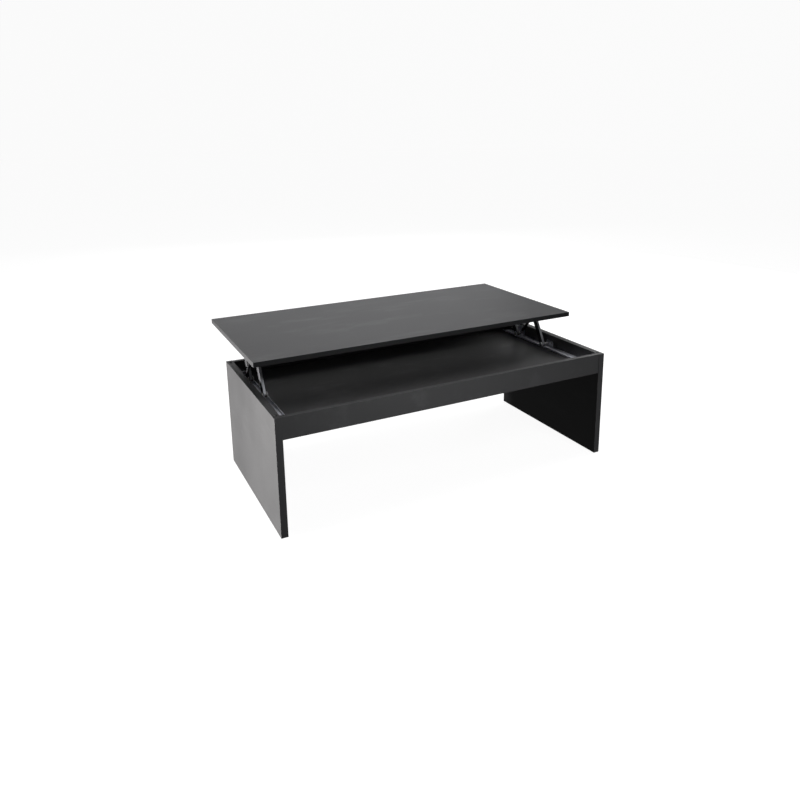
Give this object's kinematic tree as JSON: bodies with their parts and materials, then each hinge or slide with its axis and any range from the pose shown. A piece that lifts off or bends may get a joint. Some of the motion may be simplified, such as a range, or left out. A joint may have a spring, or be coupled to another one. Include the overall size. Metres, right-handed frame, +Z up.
{
  "type": "lift top coffee table",
  "caption": "Low panel-sided coffee table with a flat top that lifts and shifts on sprung parallel arms, over a shallow storage tray.",
  "frame": {"origin": "on the floor, at the centre of the base's footprint", "axes": "+X to the right along the table's length, seen from the side that opens; +Y away from that side, the way the top shifts; +Z up"},
  "size_m": [1.2, 0.7648, 0.4845],
  "materials": {
    "melamine_board": "matte charcoal melamine",
    "edge_band": "satin charcoal edge band",
    "zinc_sheet_steel": "zinc plated, satin",
    "pin_steel": "turned steel",
    "screw_steel": "zinc plated",
    "fitting_alloy": "die cast, dull",
    "cover_plastic": "fine matt",
    "beech_dowel": "fluted, raw",
    "glide_plastic": "moulded",
    "black_rubber": "matt",
    "white_nylon": "natural nylon",
    "bearing_bronze": "sintered bronze",
    "spring_wire": "oiled spring steel"
  },
  "bodies": {
    "base": {"side_panel_left": "melamine_board", "side_panel_right": "melamine_board", "side_panel_edging_left": "edge_band", "side_panel_edging_right": "edge_band", "front_rail": "melamine_board", "front_rail_edging": "edge_band", "rear_rail": "melamine_board", "rear_rail_edging": "edge_band", "tray_bottom": "melamine_board", "rail_cam_bolts": "fitting_alloy", "tray_cam_bolts": "fitting_alloy", "rail_cam_locks": "fitting_alloy", "tray_cam_locks": "fitting_alloy", "rail_cam_covers": "cover_plastic", "side_dowels": "beech_dowel", "rail_dowels": "beech_dowel", "foot_glides": "glide_plastic", "lid_bumpers": "black_rubber", "base_plate_left": "zinc_sheet_steel", "base_plate_right": "zinc_sheet_steel", "base_plate_floor_screws": "screw_steel", "base_plate_side_screws": "screw_steel", "base_pivot_pins_left": "pin_steel", "base_pivot_pins_right": "pin_steel", "base_pivot_washers": "white_nylon", "stop_pins": "pin_steel", "stop_sleeves": "black_rubber"},
    "front_arms": {"front_arm_left": "zinc_sheet_steel", "front_arm_right": "zinc_sheet_steel", "front_arm_sleeves": "bearing_bronze"},
    "rear_arms": {"rear_arm_left": "zinc_sheet_steel", "rear_arm_right": "zinc_sheet_steel", "rear_arm_sleeves": "bearing_bronze"},
    "lid": {"lid_panel": "melamine_board", "lid_edging_front": "edge_band", "lid_edging_rear": "edge_band", "lid_edging_left": "edge_band", "lid_edging_right": "edge_band", "lid_bracket_left": "zinc_sheet_steel", "lid_bracket_right": "zinc_sheet_steel", "lid_bracket_screws": "screw_steel", "lid_pivot_pins_left": "pin_steel", "lid_pivot_pins_right": "pin_steel", "lid_pivot_washers": "white_nylon"},
    "springs": {"spring_coil_left": "spring_wire", "spring_coil_right": "spring_wire"},
    "spring_hooks": {"spring_hook_left": "spring_wire", "spring_hook_right": "spring_wire"}
  },
  "joints": [
    {"name": "lift", "type": "hinge", "parent": "base", "child": "front_arms", "pos_m": [0, -0.005, 0.34461], "axis": [1, 0, 0], "range_deg": [0, 109]},
    {"name": "lid_level", "type": "hinge", "parent": "front_arms", "child": "lid", "pos_m": [0, 0.06075, 0.45849], "axis": [1, 0, 0], "range_deg": [-109, 0]},
    {"name": "rear_arm_swing", "type": "hinge", "parent": "base", "child": "rear_arms", "pos_m": [0, 0.16, 0.34461], "axis": [1, 0, 0], "range_deg": [0, 109]},
    {"name": "spring_swing", "type": "hinge", "parent": "base", "child": "springs", "pos_m": [0, 0.16, 0.34461], "axis": [1, 0, 0], "range_deg": [0, 44.06]},
    {"name": "spring_stretch", "type": "slide", "parent": "springs", "child": "spring_hooks", "axis": [0, -0.657, 0.7539], "range_m": [0, 0.14419], "deforming": ["spring_coil_left", "spring_coil_right", "spring_hook_left", "spring_hook_right"]}
  ],
  "couplings": [
    {"joint": "lid_level", "follows": "lift", "ratio": -1},
    {"joint": "rear_arm_swing", "follows": "lift", "ratio": 1},
    {"joint": "spring_swing", "follows": "lift", "ratio": 0.40414},
    {"joint": "spring_stretch", "follows": "lift", "m_per_rad": 0.075741}
  ]
}
